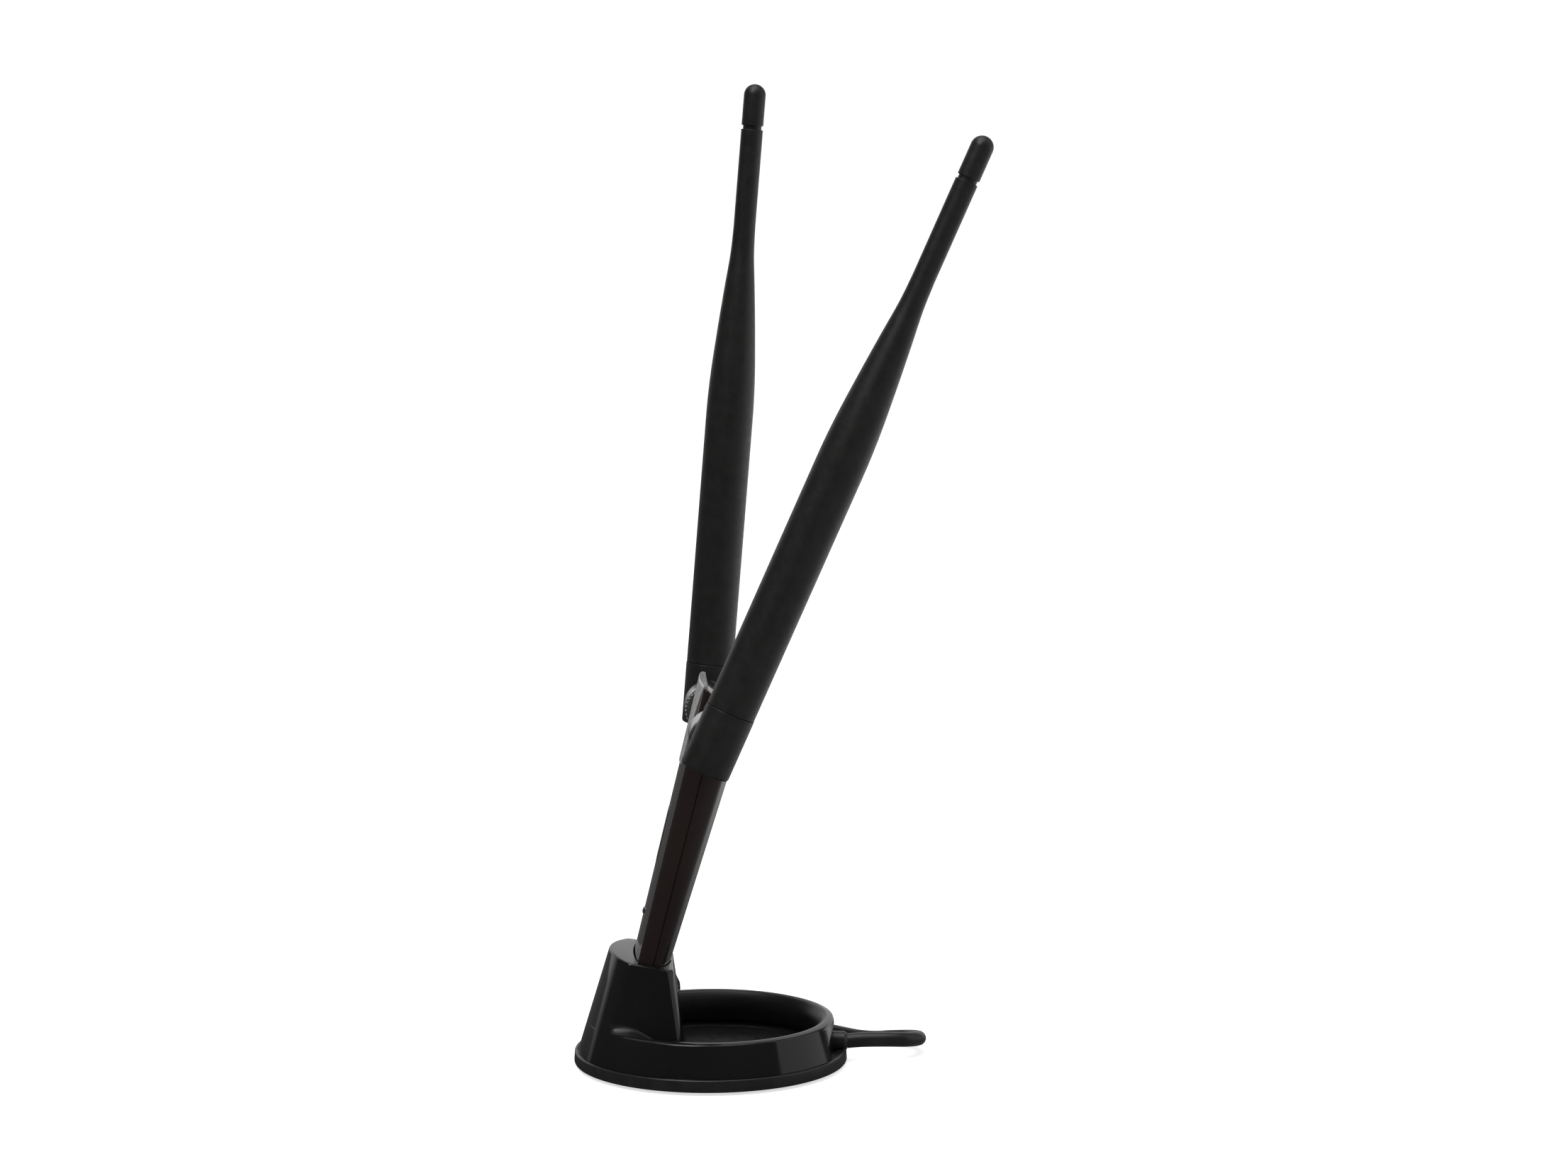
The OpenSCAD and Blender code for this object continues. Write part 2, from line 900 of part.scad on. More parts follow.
cradle_shell();
base_plate();
bowl_inlay();
ballast_plates();
grip_pad();
base_screws();
socket_shell();
socket_tongue();
socket_contacts();
socket_board();
inner_leads();
cable_gland();
cord_tube();
cord_tail();
cord_hank();
hank_tie();
cord_plug_grip();
cord_plug_shell();
cord_plug_tongue();
front_shell();
back_shell();
silver_trim();
pairing_button();
status_lens();
main_board();
radio_shield();
button_switch();
usb_plug_shell();
usb_plug_tongue();
usb_plug_contacts();
jack(-1);  // near_jack
jack(1);  // far_jack
jack_collar(-1);  // near_jack_collar
jack_collar(1);  // far_jack_collar
on_antenna(-1) nut();  // near_nut
on_antenna(-1) swivel();  // near_swivel
on_antenna(-1) coax_pin();  // near_coax_pin
on_antenna(-1) housing();  // near_housing
on_antenna(-1) hinge_pin();  // near_hinge_pin
on_antenna(-1) whip();  // near_whip
on_antenna(-1) tip_cap();  // near_tip_cap
on_antenna(-1) radiator();  // near_radiator
on_antenna(1) nut();  // far_nut
on_antenna(1) swivel();  // far_swivel
on_antenna(1) coax_pin();  // far_coax_pin
on_antenna(1) housing();  // far_housing
on_antenna(1) hinge_pin();  // far_hinge_pin
on_antenna(1) whip();  // far_whip
on_antenna(1) tip_cap();  // far_tip_cap
on_antenna(1) radiator();  // far_radiator
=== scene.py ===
"""Looks of the desktop network adapter with two swivelling whip antennas in a round cabled cradle."""

import json
import math

import bmesh
import bpy
from mathutils import Matrix, Vector


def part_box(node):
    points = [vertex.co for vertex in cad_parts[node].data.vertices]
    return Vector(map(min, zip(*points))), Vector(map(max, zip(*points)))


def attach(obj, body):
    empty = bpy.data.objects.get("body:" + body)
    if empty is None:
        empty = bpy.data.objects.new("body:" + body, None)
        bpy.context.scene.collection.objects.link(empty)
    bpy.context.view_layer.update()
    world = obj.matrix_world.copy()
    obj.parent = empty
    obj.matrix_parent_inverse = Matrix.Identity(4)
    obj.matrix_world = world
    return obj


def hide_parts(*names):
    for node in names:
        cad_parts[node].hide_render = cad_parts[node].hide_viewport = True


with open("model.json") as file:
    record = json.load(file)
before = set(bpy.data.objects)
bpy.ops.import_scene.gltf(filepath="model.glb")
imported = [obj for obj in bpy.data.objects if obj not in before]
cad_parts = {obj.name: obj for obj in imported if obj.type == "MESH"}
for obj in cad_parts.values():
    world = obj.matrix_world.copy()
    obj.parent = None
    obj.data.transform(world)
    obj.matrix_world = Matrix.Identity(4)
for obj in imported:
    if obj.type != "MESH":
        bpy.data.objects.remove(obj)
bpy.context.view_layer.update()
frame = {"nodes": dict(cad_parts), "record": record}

MM = 0.001
RECORD = frame["record"]
JOINT = {j["name"]: j for j in RECORD["behaviour"]["joints"]}
SIDES = ("near", "far")

# Driving dimensions, in millimetres, as in the model's source.
PLATE_R = 36.9
PLATE_Z = 0.8
PLATE_TOP = 4.2
WALL_R = 35.75
WALL_SLOPE = math.tan(math.radians(17.1))
RIM_TOP = 13.1
RIM_R = 31.7
BOWL_R = 29.0
BOWL_Z = 2.9
TOWER_HALF = 16.4
TOWER_TOP = 32.3
TOWER_TOP_SLOPE = math.tan(math.radians(11))
TOWER_DRAFT = math.tan(math.radians(8.5))
TOWER_REAR_X = -6.1
TOWER_REAR_SLOPE = math.tan(math.radians(7.8))
DATUM = Vector((-19.625, 0, 30))
LEAN = math.radians(13.74)
BODY_HALF = 14.0
BODY_BULGE = 1.0
BODY_BOTTOM = -6.0
BODY_BACK = 8.9
BODY_TAPER = math.tan(math.radians(3.8))
BACK_BULGE = 2.6
SEAM_T = 4.0
SEAM_SLOPE = math.tan(math.radians(0.85))
WHIP_R = 6.5
SLIM_R = 3.0
WHIP_UP = 170.5
WHIP_DOWN = 7.0
COLLAR_TOP = 10.0
GROOVE = WHIP_UP - 12.4
GROOVE_W = 1.1
NUT_OUT = 10.8
NUT_IN = 23.7
NUT_R = 6.6
CORD_D = 4.0


# ---------- camera ----------

def make_camera():
    """Stands in front of the near antenna, a little above it, looking along +Y."""
    yaw, pitch, roll = math.radians(2.47), math.radians(6.87), math.radians(-0.15)
    ahead = Vector((math.sin(yaw) * math.cos(pitch), math.cos(yaw) * math.cos(pitch), -math.sin(pitch)))
    level = Vector((math.cos(yaw), -math.sin(yaw), 0))
    above = level.cross(ahead)
    right = level * math.cos(roll) + above * math.sin(roll)
    up = above * math.cos(roll) - level * math.sin(roll)
    data = bpy.data.cameras.new("camera")
    data.sensor_width = 36
    data.lens = 87.56
    data.clip_start, data.clip_end = 0.01, 100
    camera = bpy.data.objects.new("camera", data)
    bpy.context.scene.collection.objects.link(camera)
    camera.matrix_world = Matrix.Translation(Vector((-23.38, -1010.9, 251.27)) * MM) @ Matrix(
        (right, up, -ahead)
    ).transposed().to_4x4()
    bpy.context.scene.camera = camera


make_camera()


# ---------- materials ----------

def link(tree, a, b):
    tree.links.new(a, b)


def surface(name, color, rough, metal=0.0, spread=0.05, grain=900, tone=0.18, bump=0.03, depth=0.05,
            coat=0.0, ior=1.5, stretch=(1, 1, 1)):
    """A solid finish: uneven tone, uneven gloss and a fine relief, all in object space."""
    material = bpy.data.materials.new(name)
    material.use_nodes = True
    tree = material.node_tree
    shader = tree.nodes["Principled BSDF"]
    shader.inputs["Metallic"].default_value = metal
    shader.inputs["IOR"].default_value = ior
    shader.inputs["Coat Weight"].default_value = coat
    shader.inputs["Coat Roughness"].default_value = 0.06
    place = tree.nodes.new("ShaderNodeTexCoord")
    mapping = tree.nodes.new("ShaderNodeMapping")
    mapping.inputs["Scale"].default_value = stretch
    link(tree, place.outputs["Object"], mapping.inputs["Vector"])

    def noise(scale, detail):
        node = tree.nodes.new("ShaderNodeTexNoise")
        node.inputs["Scale"].default_value = scale
        node.inputs["Detail"].default_value = detail
        link(tree, mapping.outputs["Vector"], node.inputs["Vector"])
        return node.outputs["Fac"]

    def spread_over(source, low, high):
        node = tree.nodes.new("ShaderNodeMapRange")
        node.inputs["From Min"].default_value = 0.3
        node.inputs["From Max"].default_value = 0.7
        node.inputs["To Min"].default_value = low
        node.inputs["To Max"].default_value = high
        link(tree, source, node.inputs["Value"])
        return node.outputs["Result"]

    mix = tree.nodes.new("ShaderNodeMix")
    mix.data_type = "RGBA"
    mix.inputs["A"].default_value = (*[c * (1 - tone) for c in color], 1)
    mix.inputs["B"].default_value = (*[min(1, c * (1 + tone)) for c in color], 1)
    link(tree, spread_over(noise(grain * 0.12, 3), 0, 1), mix.inputs["Factor"])
    link(tree, mix.outputs["Result"], shader.inputs["Base Color"])
    link(tree, spread_over(noise(grain * 0.3, 4), rough - spread, rough + spread), shader.inputs["Roughness"])
    relief = tree.nodes.new("ShaderNodeBump")
    relief.inputs["Strength"].default_value = bump
    relief.inputs["Distance"].default_value = depth * MM
    link(tree, noise(grain * 3, 3), relief.inputs["Height"])
    link(tree, relief.outputs["Normal"], shader.inputs["Normal"])
    return material


MATERIALS = {
    "gloss_black": surface("gloss_black", (0.008, 0.0075, 0.0075), 0.1, spread=0.03, grain=300, bump=0.003),
    "bowl_black": surface("bowl_black", (0.009, 0.0085, 0.0085), 0.36, spread=0.03, grain=500, bump=0.01),
    "stick_black": surface("stick_black", (0.017, 0.0125, 0.0115), 0.07, spread=0.02, grain=260, bump=0.003),
    "satin_black": surface("satin_black", (0.014, 0.0135, 0.0135), 0.34, spread=0.07, grain=1800, bump=0.12),
    "soft_black": surface("soft_black", (0.012, 0.0112, 0.0108), 0.43, spread=0.06, grain=2600, bump=0.2),
    "rubber_pad": surface("rubber_pad", (0.018, 0.018, 0.018), 0.7, grain=2400, bump=0.4),
    "silver_paint": surface("silver_paint", (0.6, 0.6, 0.6), 0.3, metal=0.6, spread=0.07, grain=1500,
                            tone=0.05, bump=0.08),
    "cable_jacket": surface("cable_jacket", (0.013, 0.0125, 0.0125), 0.34, spread=0.06, grain=1500, bump=0.1),
    "plated_steel": surface("plated_steel", (0.6, 0.6, 0.59), 0.26, metal=1.0, grain=1200, tone=0.06,
                            bump=0.08, stretch=(1, 1, 9)),
    "dark_steel": surface("dark_steel", (0.32, 0.32, 0.33), 0.38, metal=1.0, grain=1200, tone=0.08, bump=0.1),
    "gold_plate": surface("gold_plate", (0.83, 0.6, 0.26), 0.22, metal=1.0, grain=1200, tone=0.06, bump=0.05),
    "board_green": surface("board_green", (0.02, 0.16, 0.06), 0.3, grain=900, tone=0.3, bump=0.1),
    "insulator": surface("insulator", (0.78, 0.77, 0.73), 0.45, grain=1200, tone=0.05, bump=0.08),
    "blue_insulator": surface("blue_insulator", (0.05, 0.11, 0.4), 0.45, grain=1200, bump=0.08),
    "smoke_lens": surface("smoke_lens", (0.05, 0.05, 0.058), 0.12, grain=900, bump=0.02, coat=0.5),
    "tie_fabric": surface("tie_fabric", (0.016, 0.016, 0.017), 0.85, grain=5200, tone=0.5, bump=0.8,
                          depth=0.2),
}
SLOT_OF = {p["node"]: p["material_slot"] for p in RECORD["subparts"]}
for node_name, node_object in frame["nodes"].items():
    node_object.data.materials.clear()
    node_object.data.materials.append(MATERIALS[SLOT_OF[node_name]])


# ---------- mesh tools ----------

def arc(cx, cy, r, a0, a1, n):
    """Points on a circle between two angles in degrees."""
    turn = [math.radians(a0 + (a1 - a0) * i / n) for i in range(n + 1)]
    return [(cx + r * math.cos(a), cy + r * math.sin(a)) for a in turn]


def between(a, b, n):
    """n + 1 evenly spaced values from a to b."""
    return [a + (b - a) * i / n for i in range(n + 1)]


def rounded(corners, n=5):
    """An open outline of (x, y, radius) corners with each corner rounded."""
    out = []
    for i, (x, y, r) in enumerate(corners):
        p = Vector((x, y))
        if r == 0 or i in (0, len(corners) - 1):
            out.append((x, y))
            continue
        a = (Vector(corners[i - 1][:2]) - p).normalized()
        b = (Vector(corners[i + 1][:2]) - p).normalized()
        half = a.angle(b) / 2
        start, end = p + a * r / math.tan(half), p + b * r / math.tan(half)
        centre = p + (a + b).normalized() * r / math.sin(half)
        for k in range(n + 1):
            d = start.lerp(end, k / n) - centre
            out.append(tuple(centre + d.normalized() * r))
    return out


def lathe(profile, sides=96, radius_at=None):
    """Turns (r, z) points round z. radius_at(i, angle, r) may change the radius of point i."""
    points, faces, rings = [], [], []
    for i, (r, z) in enumerate(profile):
        if r < 1e-6:
            rings.append([len(points)])
            points.append((0, 0, z))
            continue
        rings.append(list(range(len(points), len(points) + sides)))
        for k in range(sides):
            a = 2 * math.pi * k / sides
            rr = radius_at(i, a, r) if radius_at else r
            points.append((rr * math.cos(a), rr * math.sin(a), z))
    for a, b in zip(rings, rings[1:]):
        for k in range(sides):
            m = (k + 1) % sides
            if len(a) == 1 and len(b) == 1:
                continue
            if len(a) == 1:
                faces.append((a[0], b[m], b[k]))
            elif len(b) == 1:
                faces.append((a[k], a[m], b[0]))
            else:
                faces.append((a[k], a[m], b[m], b[k]))
    return points, faces


def loft(rows, caps=(True, True)):
    """Joins closed rows of equally many points. Each cap pairs the points of a row end to end."""
    n = len(rows[0])
    points = [p for row in rows for p in row]
    faces = [
        (i * n + k, i * n + (k + 1) % n, (i + 1) * n + (k + 1) % n, (i + 1) * n + k)
        for i in range(len(rows) - 1)
        for k in range(n)
    ]
    for first, wanted in zip((0, (len(rows) - 1) * n), caps):
        if wanted:
            for k in range(n // 2 - 1):
                faces.append((first + k, first + k + 1, first + n - 2 - k, first + n - 1 - k))
    return points, faces


def piece(name, shape, material, body, replaced=(), place=None, sharp=32):
    """A finished piece from points in millimetres, put in place, that rides on a body."""
    points, faces = shape
    place = place or Matrix.Identity(4)
    mesh = bpy.data.meshes.new(name)
    mesh.from_pydata([(place @ Vector(p)) * MM for p in points], [], faces)
    obj = bpy.data.objects.new(name, mesh)
    bpy.context.scene.collection.objects.link(obj)
    settle(obj, sharp)
    mesh.materials.append(MATERIALS[material])
    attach(obj, body)
    if replaced:
        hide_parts(*replaced)
    return obj


def settle(obj, sharp):
    """Outward faces, smooth shading, and sharp edges where faces meet at more than the angle."""
    work = bmesh.new()
    work.from_mesh(obj.data)
    bmesh.ops.remove_doubles(work, verts=work.verts, dist=1e-7)
    bmesh.ops.recalc_face_normals(work, faces=work.faces)
    for face in work.faces:
        face.smooth = True
    work.to_mesh(obj.data)
    work.free()
    obj.data.set_sharp_from_angle(angle=math.radians(sharp))


def cut(obj, shapes, sharp=32):
    """Takes shapes, each (points in millimetres, faces), out of a piece."""
    for points, faces in shapes:
        mesh = bpy.data.meshes.new("cutter")
        mesh.from_pydata([Vector(p) * MM for p in points], [], faces)
        tool = bpy.data.objects.new("cutter", mesh)
        bpy.context.scene.collection.objects.link(tool)
        settle(tool, sharp)
        step = obj.modifiers.new("cut", "BOOLEAN")
        step.operation, step.solver, step.object = "DIFFERENCE", "EXACT", tool
        bpy.context.view_layer.update()
        result = bpy.data.meshes.new_from_object(obj.evaluated_get(bpy.context.evaluated_depsgraph_get()))
        obj.modifiers.clear()
        obj.data = result
        bpy.data.objects.remove(tool)
    settle(obj, sharp)


def placed(shape, place):
    return [tuple(place @ Vector(p)) for p in shape[0]], shape[1]


def smooth_line(points, steps):
    """A smooth curve through 3-D points."""
    pts = [Vector(p) for p in points]
    ends = [2 * pts[0] - pts[1], *pts, 2 * pts[-1] - pts[-2]]
    out = []
    for a, b, c, d in zip(ends, ends[1:], ends[2:], ends[3:]):
        for k in range(steps):
            t = k / steps
            out.append(0.5 * (2 * b + (c - a) * t + (2 * a - 5 * b + 4 * c - d) * t**2
                              + (3 * b - a - 3 * c + d) * t**3))
    return [*out, pts[-1]]


# ---------- cable ----------

CORD_ROUTE = [
    (37, 0, 5.5), (41, 0, 5.75), (45, 0, 5.8), (48.9, 0.2, 5.7), (53, 1.3, 5.35), (56, 4.1, 4.8),
    (57.2, 7.9, 4.1), (56.6, 11.9, 3.4), (53.9, 15.2, 2.7), (50.1, 16.7, 2.3), (46.5, 16.9, 2.1),
    (43.1, 17.6, 2.1), (40.1, 19.5, 2.1), (36.8, 22.8, 2.1), (33.3, 26.3, 2.1), (29.8, 29.8, 2.1),
    (26, 33.3, 2.1), (21.8, 36.6, 2.1), (17, 39.3, 2.1), (11.5, 41.4, 2.1), (5.5, 43, 2.1),
    (-0.6, 45.6, 2.1), (-5.3, 49.8, 2.1), (-8.5, 55, 2.1), (-10, 60.4, 2.1), (-10.3, 66, 2.1),
]
TAIL_ROUTE = [
    (-25.7, 86, 8), (-24.4, 81.5, 9), (-22.2, 77.5, 10.3),
    (-20, 74, 11.4), (-18.5, 71.5, 11.9), (-18.1, 70, 11.9),
]
HANK_X = -18.1
HANK_BEND = 7.8
HANK_NEAR = 46.0
HANK_FAR = (100.0, 90.0)
PLUG_AT = Vector((-18.1, 70, 11.9))
GRIP_LEN = 22


def hank_turns():
    """A long turn of the hank on the desk, then a shorter one on top of it as far as its left side."""
    right, left = HANK_X + HANK_BEND, HANK_X - HANK_BEND
    out = [(right, y, 2.1) for y in between(72, HANK_FAR[0], 4)]
    loop = [(x, y) for x, y in arc(HANK_X, HANK_FAR[0], HANK_BEND, 0, 180, 10)[1:]]
    loop += [(left, y) for y in between(HANK_FAR[0], HANK_NEAR, 7)[1:]]
    loop += arc(HANK_X, HANK_NEAR, HANK_BEND, 180, 360, 10)[1:]
    out += [(x, y, 2.1 + 4.0 * (i + 1) / len(loop)) for i, (x, y) in enumerate(loop)]
    out += [(right, y, 6.1) for y in between(HANK_NEAR, HANK_FAR[1], 6)[1:]]
    last = arc(HANK_X, HANK_FAR[1], HANK_BEND, 0, 180, 10)[1:]
    return out + [(x, y, 6.1 + 1.4 * (i + 1) / len(last)) for i, (x, y) in enumerate(last)]


def make_cord():
    line = smooth_line([*CORD_ROUTE, *hank_turns(), *TAIL_ROUTE], 4)
    data = bpy.data.curves.new("cable", "CURVE")
    data.dimensions = "3D"
    data.bevel_depth = CORD_D / 2 * MM
    data.bevel_resolution = 5
    data.use_fill_caps = True
    spline = data.splines.new("POLY")
    spline.points.add(len(line) - 1)
    for point, at in zip(spline.points, line):
        point.co = (*(at * MM), 1)
    spline.use_smooth = True
    cable = bpy.data.objects.new("cable", data)
    bpy.context.scene.collection.objects.link(cable)
    data.materials.append(MATERIALS["cable_jacket"])
    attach(cable, "cradle")
    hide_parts("cord_tube", "cord_hank", "cord_tail")
    return cable, sum((b - a).length for a, b in zip(line, line[1:])) * MM


def grip_row(y, half_x, half_z, power, sides=40):
    """A rounded section of the plug's grip: power 2 is an ellipse, more is squarer."""
    row = []
    for k in range(sides):
        a = 2 * math.pi * (k + 0.5) / sides
        c, s = math.cos(a), math.sin(a)
        row.append((
            PLUG_AT.x + math.copysign(abs(c) ** (2 / power), c) * half_x,
            PLUG_AT.y - y,
            PLUG_AT.z + math.copysign(abs(s) ** (2 / power), s) * half_z,
        ))
    return row


def make_plug():
    """Moulded grip with a ribbed neck. The metal shell and its tongue are the model's own."""
    rows = [grip_row(0, 2.2, 2.2, 2), grip_row(0.3, 2.4, 2.4, 2)]
    for i in range(3):
        y = 1 + i * 1.6
        r = 2.45 + 0.2 * i
        rows += [grip_row(y, r, r, 2), grip_row(y + 0.1, r - 0.35, r - 0.35, 2)]
        rows += [grip_row(y + 0.6, r - 0.35, r - 0.35, 2), grip_row(y + 0.7, r + 0.1, r + 0.1, 2)]
    rows += [grip_row(6, 3.1, 3, 2.2), grip_row(6.6, 5.2, 3.35, 3), grip_row(7.4, 6.3, 3.6, 4)]
    rows += [grip_row(8.6, 6.75, 3.7, 5), grip_row(12, 6.75, 3.7, 5), grip_row(13, 6.5, 3.5, 5)]
    rows += [grip_row(18, 6.5, 3.5, 5), grip_row(19, 6.75, 3.7, 5), grip_row(21.4, 6.7, 3.65, 5)]
    rows += [grip_row(GRIP_LEN, 6.3, 3.25, 4)]
    return piece("plug_grip", loft(rows), "satin_black", "cradle", ["cord_plug_grip"])


def make_tie():
    """A fabric strap round the hank and the grip of its plug."""
    near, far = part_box("hank_tie")[0].y / MM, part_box("hank_tie")[1].y / MM
    half = [(8.7, 2.4, 2.2, 270, 360), (8.9, 7.2, 2, 0, 22), (5.6, 14.3, 1.9, 22, 90)]

    def band(inset):
        side = [p for x, z, r, a0, a1 in half for p in arc(x, z, r - inset, a0, a1, 6)]
        return side + [(-x, z) for x, z in reversed(side)]

    rows = []
    for y, inset in ((near, 0.15), (near + 0.2, 0), (far - 0.2, 0), (far, 0.15), (far, 0.6), (near, 0.6)):
        rows.append([(HANK_X + x, y, z) for x, z in band(inset)])
    rows.append(rows[0])
    return piece("hank_strap", loft(rows, (False, False)), "tie_fabric", "cradle", ["hank_tie"])


cable, cable_length = make_cord()
plug_grip = make_plug()
strap = make_tie()


# ---------- cradle ----------

def wall_at(z):
    return WALL_R - (z - PLATE_TOP) * WALL_SLOPE


def make_ring():
    """The ring: polished outer wall with a hollow round the cable exit, and a satin bowl inside the crest."""
    outer_top = RIM_TOP - 0.9
    corner = 0.6
    wall = [(wall_at(z), z) for z in between(PLATE_TOP, outer_top, 20)]
    rim = arc(wall_at(outer_top) - corner, outer_top, corner, 17.1, 75, 6)[1:]
    roll = arc(RIM_R, RIM_TOP - 2, 2, 86, 128, 12)
    crest = 4
    inner = arc(BOWL_R + 5.6, BOWL_Z + 5.4, 5.85, 148, 226, 20)
    under = [(30.8, 2.2), (31, 2.2), (31, PLATE_TOP)]
    profile = [*under, *wall, *rim, *roll[:crest + 1], (30.8, 12), under[0]]
    wall_rows = range(len(under), len(under) + len(wall))
    relief_half, relief_up, relief_deep = 17.0, 7.4, 2.4

    def scooped(i, angle, r):
        if i not in wall_rows:
            return r
        angle = (angle + math.pi) % (2 * math.pi) - math.pi
        height = profile[i][1] - PLATE_TOP
        e = (angle * r / relief_half) ** 2 + (height / relief_up) ** 2
        return r - relief_deep * min(1, max(0, 1.15 * (1 - e)))

    piece("cradle_ring", lathe(profile, 360, scooped), "gloss_black", "cradle", ["cradle_shell"])
    bowl = [(0, 2.3), (30.7, 2.3), (30.7, 12), *roll[crest:], *inner, (BOWL_R, BOWL_Z), (0, BOWL_Z)]
    piece("cradle_bowl", lathe(bowl, 256), "bowl_black", "cradle", ["cradle_shell"])


# Stations of the web that fills the corner between the tower's side and the ring, as x, height on the
# tower, then width and height where it meets the ring, and of the hollow between them.
WEB = [
    (-27.1, 14.4, 19.2, 12.9, 18.95, 13.2), (-26.6, 15.1, 19.7, 13.0, 18.95, 13.3),
    (-25.5, 15.3, 21.0, 13.05, 19.0, 13.3), (-24.0, 15.15, 22.3, 13.06, 19.1, 13.1),
    (-22.0, 14.6, 23.6, 13.06, 19.3, 12.9), (-20.0, 13.8, 24.8, 13.06, 19.6, 12.2),
    (-18.0, 12.7, 25.8, 13.0, 20.0, 11.0), (-16.0, 11.5, 26.6, 12.85, 20.8, 9.5),
    (-14.0, 10.0, 27.2, 12.55, 22.0, 7.8), (-12.0, 7.6, 27.6, 12.1, 23.8, 5.6),
    (-10.5, 5.2, 27.9, 11.5, 25.6, 4.0), (-9.0, 3.35, 28.1, 10.4, 27.0, 3.3),
    (-7.8, 3.2, 28.2, 8.2, 28.1, 3.2),
]


def make_webs():
    stations = [smooth_line([row[:3] for row in WEB], 3), smooth_line([(row[0], *row[4:]) for row in WEB], 3)]
    outer_z = smooth_line([(row[0], row[3], 0) for row in WEB], 3)
    for side, sign in (("near", -1), ("far", 1)):
        rows = []
        for (x, z_top, y_out), (_, y_mid, z_mid), (_, z_out, _) in zip(*stations, outer_z):
            y_top = TOWER_HALF + (31 - z_top) * TOWER_DRAFT
            a, b, c = Vector((y_top, z_top)), Vector((y_mid, z_mid)), Vector((y_out, z_out))
            line = [(y_top - 1.2, z_top)]
            line += [tuple(a.lerp(b, u).lerp(b.lerp(c, u), u)) for u in between(0, 1, 12)]
            rows.append([(x, sign * y, z) for y, z in line] + [(x, sign * y, 3) for y, _ in reversed(line)])
        piece(f"{side}_web", loft(rows), "bowl_black", "cradle", ["cradle_shell"],
              sharp=60)


def tower_outline(z, inset=0.0, wall_inset=0.0):
    """Section of the tower at a height, from the middle of its rear face round its near side and back."""
    r = wall_at(z) - inset - wall_inset
    half = TOWER_HALF - inset + (31 - z) * TOWER_DRAFT
    rear = TOWER_REAR_X - z * TOWER_REAR_SLOPE - inset
    rear_r, front_r = 3.5 - inset, 1.6
    cy = -half + front_r
    cx = -math.sqrt((r - front_r) ** 2 - cy**2)
    meet = math.degrees(math.atan2(cy, cx))
    near = [(rear, y) for y in between(0, -half + rear_r, 4)][:-1]
    near += arc(rear - rear_r, -half + rear_r, rear_r, 0, -90, 10)
    near += [(x, -half) for x in between(rear - rear_r, cx, 8)][1:-1]
    near += arc(cx, cy, front_r, -90, meet, 8)[:-1]
    near += [(r * math.cos(math.radians(a)), r * math.sin(math.radians(a))) for a in between(meet, -180, 18)]
    return near + [(x, -y) for x, y in reversed(near[1:-1])]


def tower_top_at(x):
    return TOWER_TOP - (x + 27.6) * TOWER_TOP_SLOPE


def front_side(grow=0.0):
    """Front face of the adapter from its middle round one edge, as (depth, width) points."""
    half = BODY_HALF + grow
    face = [(-(BODY_BULGE + grow) * (1 - (y / half) ** 2), y) for y in between(0, half - 1.4, 8)]
    return face + arc(1 - grow, half - 1.2, 1.2, 176, 90, 6)


def back_side(w, grow=0.0):
    """Rear face of the adapter from its middle round one edge, at a height along the body."""
    half = BODY_HALF + grow
    edge = BODY_BACK + w * BODY_TAPER - BACK_BULGE + grow
    face = [(edge + BACK_BULGE * (1 - (y / BODY_HALF) ** 2), y) for y in between(0, 12, 9)]
    depth = min(4.2, edge - SEAM_T - w * SEAM_SLOPE - 0.5)
    start, turn, end = Vector(face[-1]), Vector((edge + 0.05, half)), Vector((edge - depth, half))
    return face + [tuple(start.lerp(turn, u).lerp(turn.lerp(end, u), u)) for u in between(0, 1, 12)[1:]]


def body_outline(w, grow=0.0):
    """Whole section of the adapter body at a height along it."""
    side = front_side(grow) + back_side(w, grow)[::-1]
    return side + [(t, -y) for t, y in reversed(side[1:-1])]


ON_BODY = Matrix.Translation(DATUM) @ Matrix.Rotation(LEAN, 4, "Y")


